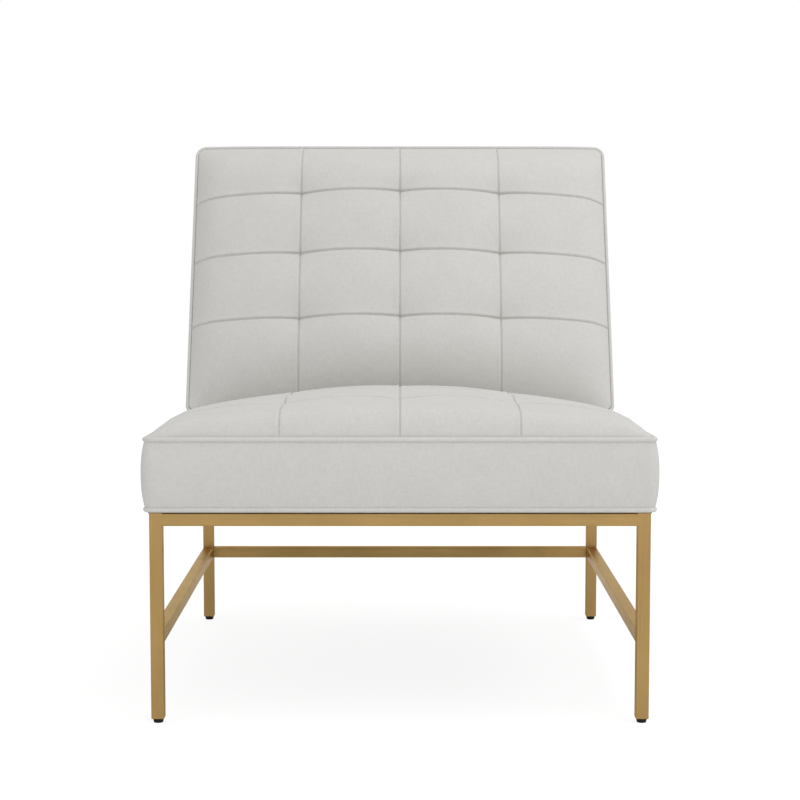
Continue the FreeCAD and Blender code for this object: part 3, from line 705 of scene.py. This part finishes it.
class CHAIR_OT_back_cushion(bpy.types.Operator):
    """Make the quilted back cushion with its foam"""

    bl_idname = "chair.back_cushion"
    bl_label = "Back cushion"

    def execute(self, context):
        scene = context.scene
        back = scene.chair_back
        plane = back_plane(back)
        panel = back_panel(back)
        floor = back.foam * math.tan(back.lean - scene.chair_seat.pitch)
        high = panel["end"]

        def foam_base(ring, across, along):
            climb = np.where(along < high, (high - along) / (high - back.inset), 0.0) * floor
            return placed(plane, across, along + climb, np.full(len(ring), -back.foam))

        piece = quilted_cushion("back_cushion", panel, plane, scene.chair_sewing, foam_base, cover("panel"))
        declare_sewn(piece, 0.75, "back_quilted_front", "back_foam")
        return {"FINISHED"}


# Boxing

BAND_TUCK = 0.0007          # how far a band is drawn in at its seams
BAND_TUCK_WIDTH = 0.0016
BAND_WANDER = 0.0006        # unevenness of a band
SEAT_UNDER_WELT = 0.0012    # how far the bands run under the welts
BACK_UNDER_WELT = 0.001
BACK_BAND_WIDTH = 0.15


def band_edge(plane, outline, outward, out=0.0):
    """Function that gives the points of a band's edge at an offset outside its outline."""
    return lambda offset: outline_at(plane, outline + outward * np.reshape(offset, (-1, 1)), out)


def boxing_band(name, low_edge, high_edge, outset, bulge, weight, height, inner):
    """Closed strip round a cushion: it swells at mid height and tucks in beside both welts."""
    beside = [0.0, 0.0012, 0.0025, 0.004, 0.006, 0.009]
    ends = [d / height for d in beside]
    shares = ends[:-1] + list(np.linspace(ends[-1], 1 - ends[-1], 17)) + [1 - s for s in ends[-2::-1]]
    rows = []
    for s in shares:
        swell = 1.0 - abs(2 * s - 1) ** 2.4
        tuck = BAND_TUCK * (math.exp(-(s * height / BAND_TUCK_WIDTH) ** 2)
                            + math.exp(-((1 - s) * height / BAND_TUCK_WIDTH) ** 2))
        offset = outset + bulge * swell * weight - tuck
        rows.append(low_edge(offset) * (1 - s) + high_edge(offset) * s)
    outer = np.array(rows)
    shift = BAND_WANDER * waviness(outer, 11.0, 11).reshape(outer.shape[:2])
    sideways = outer - outer.mean(axis=(0, 1))
    sideways /= np.linalg.norm(sideways, axis=2, keepdims=True)
    fade = np.sin(np.pi * np.array(shares))[:, None]
    outer = outer + sideways * (shift * fade)[:, :, None]
    lining = (1.0, 0.5, 0.0)
    back = np.array([low_edge(inner) * (1 - s) + high_edge(inner) * s for s in lining])
    vertices = np.vstack([outer.reshape(-1, 3), back.reshape(-1, 3)])
    faces = sweep_faces(len(shares) + len(back), outer.shape[1], close_rows=True, close_columns=True)
    middle = outer[len(shares) // 2]
    steps = np.linalg.norm(np.diff(middle, axis=0, append=middle[:1]), axis=1)
    around = np.concatenate([[0.0], np.cumsum(steps)[:-1]])
    pattern = np.array([[a, s * height] for s in (*shares, *lining) for a in around])
    return new_piece(name, vertices, faces, cover("panel"), pattern)


class CHAIR_OT_boxing(bpy.types.Operator):
    """Make the boxing bands round the seat and the back"""

    bl_idname = "chair.boxing"
    bl_label = "Boxing bands"

    def execute(self, context):
        seat, back = context.scene.chair_seat, context.scene.chair_back
        slope, slope_out = rounded(seat.half_width, 0.0, seat.length, seat.corner)
        level, level_out = rounded(seat.half_width, 0.0, seat.plan_length, seat.corner)
        floor_z = seat.bottom_welt_height + seat.welt / 2 - SEAT_UNDER_WELT
        low_edge = band_edge(plane_at(seat.front_y, floor_z, 0.0), level, level_out)
        high_edge = band_edge(seat_plane(seat), slope, slope_out, -seat.welt / 2 + SEAT_UNDER_WELT)
        band = boxing_band("seat_boxing_band", low_edge, high_edge, seat.outset, seat.bulge,
                           np.ones(len(slope)), seat.welt_height - seat.bottom_welt_height - seat.welt,
                           -seat.welt / 2)
        declare_sewn(band, 0.7, "seat_boxing")

        front, outward = rounded(back.half_width, 0.0, back.slant, back.corner, spacing=0.0085,
                                 high_radius=back.top_corner)
        shoulder = back.slant - back.top_corner
        scale = (back.rear_slant - back.top_corner - back.corner) / (shoulder - back.corner)
        height = front[:, 1]
        rear_height = np.where(height < back.corner, height, back.corner + (height - back.corner) * scale)
        rear_height = np.where(height > shoulder, height - back.slant + back.rear_slant, rear_height)
        rear = droop_outline(np.column_stack([front[:, 0], rear_height]), back, back.rear_slant)
        front = droop_outline(front, back, back.slant)
        under = back.welt / 2 - BACK_UNDER_WELT
        band = boxing_band("back_boxing_band", band_edge(rear_plane(back), rear, outward, under),
                           band_edge(back_plane(back), front, outward, -under), back.outset, back.bulge,
                           1.0 - np.maximum(0.0, -outward[:, 1]), BACK_BAND_WIDTH, -back.welt / 2)
        declare_sewn(band, 0.6, "back_boxing")
        return {"FINISHED"}


# Piping


def new_tree(name, sockets):
    """Geometry node tree with its inputs, the input node's outputs, and the path as a curve."""
    tree = bpy.data.node_groups.new(name, "GeometryNodeTree")
    for label, kind, default in (("Path", "Geometry", None), *sockets, ("Fabric", "Material", None)):
        socket = tree.interface.new_socket(name=label, in_out="INPUT", socket_type="NodeSocket" + kind)
        if default is not None:
            socket.default_value = default
    tree.interface.new_socket(name="Geometry", in_out="OUTPUT", socket_type="NodeSocketGeometry")
    given = add_node(tree, "NodeGroupInput").outputs
    return tree, given, add_node(tree, "GeometryNodeMeshToCurve", {"Mesh": given["Path"]}).outputs[0]


def close_tree(tree, given, geometry):
    """Ends a node tree: its geometry is made smooth, real and of the given fabric."""
    smooth = add_node(tree, "GeometryNodeSetShadeSmooth", {"Geometry": geometry})
    real = add_node(tree, "GeometryNodeRealizeInstances", {"Geometry": smooth.outputs[0]})
    dressed = add_node(tree, "GeometryNodeSetMaterial", {"Geometry": real.outputs[0],
                                                         "Material": given["Fabric"]})
    add_node(tree, "NodeGroupOutput", {"Geometry": dressed.outputs[0]})
    return tree


def grown_along(name, points, edges, tree, inputs):
    """Plain mesh piece that a node tree grows along the edges of a path; inputs are by label."""
    mesh = bpy.data.meshes.new(name + "_path")
    mesh.from_pydata(points, edges, [])
    path = bpy.data.objects.new(name + "_path", mesh)
    bpy.context.scene.collection.objects.link(path)
    modifier = path.modifiers.new(tree.name, "NODES")
    modifier.node_group = tree
    for item in tree.interface.items_tree:
        if item.item_type == "SOCKET" and item.name in inputs:
            modifier[item.identifier] = inputs[item.name]
    bpy.context.view_layer.update()
    graph = bpy.context.evaluated_depsgraph_get()
    grown = bpy.data.meshes.new_from_object(path.evaluated_get(graph))
    grown.name = name
    bpy.data.objects.remove(path)
    piece = bpy.data.objects.new(name, grown)
    bpy.context.scene.collection.objects.link(piece)
    return piece


def piping_tree():
    """Node tree: a round fabric cord along the edges of a path, slightly uneven."""
    tree, given, curve = new_tree("piping", (("Radius", "Float", 0.003), ("Unevenness", "Float", 0.0004),
                                             ("Sides", "Int", 16), ("Seed", "Float", 7.0)))
    circle = add_node(tree, "GeometryNodeCurvePrimitiveCircle", {"Resolution": given["Sides"],
                                                                 "Radius": given["Radius"]})
    cord = add_node(tree, "GeometryNodeCurveToMesh", {"Curve": curve, "Profile Curve": circle.outputs[0]})
    texture = add_node(tree, "ShaderNodeTexNoise", {"Scale": 70.0, "Detail": 2.0, "W": given["Seed"]},
                       noise_dimensions="4D")
    centred = calculate(tree, "SUBTRACT", texture.outputs["Fac"], 0.5)
    amount = calculate(tree, "MULTIPLY", centred, given["Unevenness"])
    normal = add_node(tree, "GeometryNodeInputNormal").outputs[0]
    offset = add_node(tree, "ShaderNodeVectorMath", {0: normal, "Scale": amount}, operation="SCALE")
    uneven = add_node(tree, "GeometryNodeSetPosition", {"Geometry": cord.outputs[0],
                                                        "Offset": offset.outputs[0]})
    return close_tree(tree, given, uneven.outputs[0])


class CHAIR_OT_piping(bpy.types.Operator):
    """Make the four welts round the seat and the back"""

    bl_idname = "chair.piping"
    bl_label = "Piping"

    def execute(self, context):
        seat, back = context.scene.chair_seat, context.scene.chair_back
        tree = piping_tree()
        slope, level = [rounded(seat.half_width, 0.0, run, seat.corner, spacing=0.005, turn=10)[0]
                        for run in (seat.length, seat.plan_length)]
        front, rear = [droop_outline(rounded(back.half_width, 0.0, slant, back.corner, 0.005, 12,
                                             back.top_corner)[0], back, slant)
                       for slant in (back.slant, back.rear_slant)]
        ground = plane_at(seat.front_y, seat.bottom_welt_height, 0.0)
        for name, outline, plane, diameter, node in (
                ("seat_top_piping", slope, seat_plane(seat), seat.welt, "seat_top_welt"),
                ("seat_bottom_piping", level, ground, seat.welt, "seat_bottom_welt"),
                ("back_front_piping", front, back_plane(back), back.welt, "back_front_welt"),
                ("back_rear_piping", rear, rear_plane(back), back.welt, "back_rear_welt")):
            count = len(outline)
            piece = grown_along(name, outline_at(plane, outline).tolist(),
                                [(i, (i + 1) % count) for i in range(count)], tree,
                                {"Radius": diameter / 2, "Fabric": cover("piping"),
                                 "Seed": float(context.scene.chair_stage.seed)})
            declare_sewn(piece, 1.0, node)
        return {"FINISHED"}


# Stitches


def stitch_tree():
    """Node tree: short stitches of thread one after another along the edges of a path."""
    tree, given, curve = new_tree("stitches", (("Pitch", "Float", 0.0042), ("Stitch", "Float", 0.003),
                                               ("Thread", "Float", 0.0006), ("Seed", "Int", 7)))
    even = add_node(tree, "GeometryNodeResampleCurve", {"Curve": curve, "Length": given["Pitch"]},
                    mode="LENGTH")
    ball = add_node(tree, "GeometryNodeMeshUVSphere", {"Segments": 6, "Rings": 4, "Radius": 0.5})
    tangent = add_node(tree, "GeometryNodeInputTangent").outputs[0]
    turn = add_node(tree, "FunctionNodeAlignRotationToVector", {"Vector": tangent}, axis="X")
    jitter = add_node(tree, "FunctionNodeRandomValue", {2: 0.9, 3: 1.08, "Seed": given["Seed"]},
                      data_type="FLOAT")
    longer = calculate(tree, "MULTIPLY", given["Stitch"], jitter.outputs[1])
    size = add_node(tree, "ShaderNodeCombineXYZ", {0: longer, 1: given["Thread"], 2: given["Thread"]})
    row = add_node(tree, "GeometryNodeInstanceOnPoints", {
        "Points": even.outputs[0], "Instance": ball.outputs[0], "Rotation": turn.outputs[0],
        "Scale": size.outputs[0]})
    return close_tree(tree, given, row.outputs[0])


def seam_paths(panel, plane, sewing):
    """Points and edges of every seam, lying in its valley."""
    columns, rows = panel["columns"], panel["rows"]
    runs = []
    for x in columns[1:-1]:
        v = rows[0] + (rows[-1] - rows[0]) * np.linspace(0.02, 0.99, 180) ** 1.6
        runs.append((np.full(len(v), x), v))
    for v in rows[1:-1]:
        x = np.arange(columns[0] + 0.006, columns[-1] - 0.006, 0.004)
        runs.append((x, np.full(len(x), v)))
    points, edges = [], []
    for across, along in runs:
        depth = seam_valley(across, along, panel, sewing) + sewing.thread * 0.2
        first = len(points)
        points += on_cover(plane, across, panel["settled"](across, along),
                           quilted_height(across, along, panel), depth,
                           cover_slopes(across, along, panel)).tolist()
        edges += [(i, i + 1) for i in range(first, len(points) - 1)]
    return points, edges


class CHAIR_OT_stitches(bpy.types.Operator):
    """Sew the seams of the seat and the back"""

    bl_idname = "chair.stitches"
    bl_label = "Stitches"

    def execute(self, context):
        scene = context.scene
        seat, back, sewing = scene.chair_seat, scene.chair_back, scene.chair_sewing
        tree = stitch_tree()
        for name, panel, plane in (("seat_stitches", seat_panel(seat), seat_plane(seat)),
                                   ("back_stitches", back_panel(back), back_plane(back))):
            points, edges = seam_paths(panel, plane, sewing)
            piece = grown_along(name, points, edges, tree, {
                "Pitch": sewing.stitch_pitch, "Stitch": sewing.stitch, "Thread": sewing.thread,
                "Seed": scene.chair_stage.seed, "Fabric": cover("piping")})
            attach(piece, BODY)
        return {"FINISHED"}


# Rear cover and lining

REAR_SWELL = 0.0045         # how far the rear panel swells in its middle
REAR_RUN = 0.12             # height over which it does
REAR_WANDER = 0.0008        # its unevenness
REAR_SINK = 0.0012          # how far its cloth lies under the welt's centre line
REAR_TUCK = 0.0016          # how far it is drawn in beside the welt
REAR_DEPTH = 0.0018         # where its inner face lies
LINING_SAG = 0.0022         # how far the dust cover hangs in its middle
LINING_RIPPLE = 0.0006
LINING_THICKNESS = 0.0005


class CHAIR_OT_rear_cover(bpy.types.Operator):
    """Make the plain panel on the rear of the back"""

    bl_idname = "chair.rear_cover"
    bl_label = "Rear cover"

    def execute(self, context):
        back = context.scene.chair_back
        half, low, high = back.half_width - back.inset, back.inset, back.rear_slant - back.inset
        xs = grid_lines([-half, half], coarse=0.014)
        vs = grid_lines([low, high], coarse=0.014)
        across, along = np.meshgrid(xs, vs)
        edge = np.minimum(half - np.abs(across), np.minimum(along - low, high - along))
        swell = (REAR_SWELL * (1 - (np.abs(across) / half) ** 3)
                 * rise(along - low, REAR_RUN, power=2.5) * rise(high - along, REAR_RUN, power=2.5))
        plane = rear_plane(back)
        spots = placed(plane, across, along, np.zeros(across.shape))
        wander = REAR_WANDER * waviness(spots, 8.0, 17).reshape(across.shape)
        swell = swell + wander * np.clip(edge / 0.04, 0, 1)
        out = -REAR_SINK - swell + REAR_TUCK * np.exp(-(edge / TUCK_WIDTH) ** 2)
        flat = np.stack([across.ravel(), along.ravel()], axis=1)
        across, along = round_corners(across, along, half, low, high, back.corner - back.inset,
                                      back.top_corner - back.inset)
        along = drooped(across, along, back, back.rear_slant)
        outer = placed(plane, across, along, out).reshape(-1, 3)
        inner = placed(plane, across, along, np.full(out.shape, REAR_DEPTH)).reshape(-1, 3)
        faces = [face[::-1] for face in sweep_faces(*across.shape)]
        ring = edge_ring(*across.shape)
        total = len(outer)
        for j, a in enumerate(ring):
            k = (j + 1) % len(ring)
            faces.append((int(a), int(ring[k]), total + k, total + j))
        faces.append(tuple(range(total, total + len(ring))))
        piece = new_piece("back_rear_cover", np.vstack([outer, inner[ring]]), faces, cover("panel"),
                          np.vstack([flat, flat[ring] * 1.01]))
        declare_sewn(piece, 0.3, "back_rear_panel")
        return {"FINISHED"}


class CHAIR_OT_dust_cover(bpy.types.Operator):
    """Stretch the black lining under the seat"""

    bl_idname = "chair.dust_cover"
    bl_label = "Dust cover"

    def execute(self, context):
        low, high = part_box("dust_cover")
        middle, reach = (low + high) / 2, (high - low) / 2
        across, along = np.meshgrid(np.linspace(low.x, high.x, 68), np.linspace(low.y, high.y, 70))
        inside = (1 - ((across - middle.x) / reach.x) ** 2) * (1 - ((along - middle.y) / reach.y) ** 2)
        vertices = np.stack([across, along, np.full(across.shape, middle.z)], axis=2).reshape(-1, 3)
        ripple = waviness(vertices, 14.0, 23).reshape(across.shape)
        vertices[:, 2] -= (inside * (LINING_SAG + LINING_RIPPLE * ripple)).ravel()
        pattern = np.stack([across.ravel(), along.ravel()], axis=1)
        material = pressed_fibre("black_lining", (0.006,) * 3, (0.022,) * 3, 700.0, 0.00015)
        piece = new_piece("dust_cover_cloth", vertices, sweep_faces(*across.shape), material, pattern)
        wall = piece.modifiers.new("thickness", "SOLIDIFY")
        wall.thickness = LINING_THICKNESS
        wall.offset = 0.0
        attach(piece, BODY)
        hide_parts("dust_cover")
        return {"FINISHED"}


# Finishes of the frame's own parts


class CHAIR_OT_frame_finishes(bpy.types.Operator):
    """Give the legs, rails, feet, boards and fixings their finishes"""

    bl_idname = "chair.frame_finishes"
    bl_label = "Frame finishes"

    def execute(self, context):
        metal = context.scene.chair_metal
        ways = list(enumerate(("across", "depth", "upright")))
        gold = [brushed_metal("brushed_gold_" + word, metal, axis) for axis, word in ways]
        wood = [sawn_hardwood("hardwood_" + word, axis) for axis, word in ways]
        zinc = plain_metal("zinc_plate", (0.55, 0.55, 0.54), 0.38, 500.0)
        steel = plain_metal("spring_steel", (0.20, 0.20, 0.21), 0.42, 350.0)
        nylon = moulded_nylon("black_nylon")
        felt = pressed_fibre("grey_felt", (0.10, 0.10, 0.105), (0.24, 0.24, 0.25), 420.0, 0.0006)
        strap = elastic_webbing("elastic_webbing")
        finishes = (
            (gold[0], ("front_rail", "rear_rail", "rear_stretcher", "corner_plates")),
            (gold[1], ("_side_rail", "_side_stretcher")),
            (gold[2], ("_leg",)),
            (wood[0], ("front_board", "rear_board", "corner_blocks")),
            (wood[0], ("bottom_rail", "middle_rail", "top_rail")),
            (wood[1], ("left_board", "right_board")),
            (wood[2], ("_upright",)),
            (nylon, ("_foot_pad", "leg_inserts")),
            (zinc, ("_foot_stem", "seat_bolts", "seat_tee_nuts", "bracket_screws", "spring_clips")),
            (steel, ("back_brackets", "seat_springs")),
            (felt, ("spring_felt",)),
            (strap, ("back_webbing",)),
        )
        for name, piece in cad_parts.items():
            if piece.hide_render:
                continue
            finish = next((made for made, endings in finishes if name.endswith(endings)), None)
            if finish is None:
                raise RuntimeError("no finish for " + name)
            for slot in piece.material_slots:
                slot.material = finish
        return {"FINISHED"}


# Stage

WHITE = (1.0, 1.0, 1.0, 1.0)
FLOOR_HALF = 6.0
LIT_PLACE = Vector((0.0, 0.0, 0.4))


def seen_directly(tree, mirrored):
    """1 for what the camera sees, a share for what the metal mirrors, and 0 for the light itself."""
    rays = add_node(tree, "ShaderNodeLightPath").outputs
    seen = calculate(tree, "MAXIMUM", rays["Is Camera Ray"], rays["Is Transmission Ray"])
    return calculate(tree, "MAXIMUM", seen, calculate(tree, "MULTIPLY", rays["Is Glossy Ray"], mirrored))


class CHAIR_OT_stage(bpy.types.Operator):
    """Set the camera, the light and the floor"""

    bl_idname = "chair.stage"
    bl_label = "Stage"

    def execute(self, context):
        scene = context.scene
        sizes = scene.chair_stage
        data = bpy.data.cameras.new("camera")
        data.lens = sizes.lens
        data.sensor_width = 36.0
        data.clip_end = 60.0
        camera = bpy.data.objects.new("camera", data)
        camera.location = (0.0, -sizes.distance, sizes.height)
        camera.rotation_euler = (math.pi / 2 - sizes.pitch, 0.0, 0.0)
        scene.collection.objects.link(camera)
        scene.camera = camera
        scene.view_settings.view_transform = "Standard"

        for name, place, size, power in (("overhead_lamp", (1.5, -0.85, 3.3), (3.0, 2.4), sizes.lamp),
                                         ("front_lamp", (0.3, -3.6, 1.0), (2.6, 1.6), sizes.fill)):
            lamp = bpy.data.lights.new(name, "AREA")
            lamp.shape = "RECTANGLE"
            lamp.size, lamp.size_y = size
            lamp.energy = power
            hung = bpy.data.objects.new(name, lamp)
            hung.visible_glossy = name != "front_lamp"
            hung.location = place
            hung.rotation_euler = (Vector(place) - LIT_PLACE).to_track_quat("Z", "Y").to_euler()
            scene.collection.objects.link(hung)

        world = bpy.data.worlds.new("studio")
        scene.world = world
        world.use_nodes = True
        tree = world.node_tree
        strength = ranged(tree, seen_directly(tree, 1.0), sizes.dome, 1.0, low=0.0, high=1.0)
        set_sockets(tree, tree.nodes["Background"], {"Strength": strength, "Color": WHITE})

        half = FLOOR_HALF
        corners = [(-half, -half, 0.0), (half, -half, 0.0), (half, half, 0.0), (-half, half, 0.0)]
        material, tree = new_material("studio_floor")
        seen = seen_directly(tree, 0.3)
        finished(material, {
            "Base Color": ranged(tree, seen, 0.9, 0.24, low=0.0, high=1.0), "Roughness": 1.0,
            "Specular IOR Level": 0.0, "Emission Color": WHITE,
            "Emission Strength": ranged(tree, seen, 0.0, 0.85, low=0.0, high=1.0)})
        new_piece("floor", corners, [(0, 1, 2, 3)], material, smooth=False)
        return {"FINISHED"}


# Panel, registration and the run


OPERATORS = (CHAIR_OT_stage, CHAIR_OT_seat_cushion, CHAIR_OT_back_cushion, CHAIR_OT_boxing, CHAIR_OT_piping,
             CHAIR_OT_stitches, CHAIR_OT_rear_cover, CHAIR_OT_dust_cover, CHAIR_OT_frame_finishes)
GROUPS = {"chair_seat": SeatSizes, "chair_back": BackSizes, "chair_sewing": SewingSizes,
          "chair_fabric": FabricFinish, "chair_metal": MetalFinish, "chair_stage": StageSizes}


class CHAIR_PT_sidebar(bpy.types.Panel):
    """Lists the steps that dress the chair"""

    bl_idname = "CHAIR_PT_sidebar"
    bl_label = "Armless lounge chair"
    bl_space_type = "VIEW_3D"
    bl_region_type = "UI"
    bl_category = "Chair"

    def draw(self, context):
        for operator in OPERATORS:
            self.layout.operator(operator.bl_idname)


def register():
    for kind in (*GROUPS.values(), *OPERATORS, CHAIR_PT_sidebar):
        bpy.utils.register_class(kind)
    for name, group in GROUPS.items():
        setattr(bpy.types.Scene, name, PointerProperty(type=group))


def unregister():
    for name in GROUPS:
        delattr(bpy.types.Scene, name)
    for kind in (CHAIR_PT_sidebar, *reversed(OPERATORS), *reversed(GROUPS.values())):
        bpy.utils.unregister_class(kind)


def main():
    register()
    bpy.ops.chair.stage()
    bpy.ops.chair.seat_cushion()
    bpy.ops.chair.back_cushion()
    bpy.ops.chair.boxing()
    bpy.ops.chair.piping()
    bpy.ops.chair.stitches()
    bpy.ops.chair.rear_cover()
    bpy.ops.chair.dust_cover()
    bpy.ops.chair.frame_finishes()


if __name__ == "__main__":
    main()
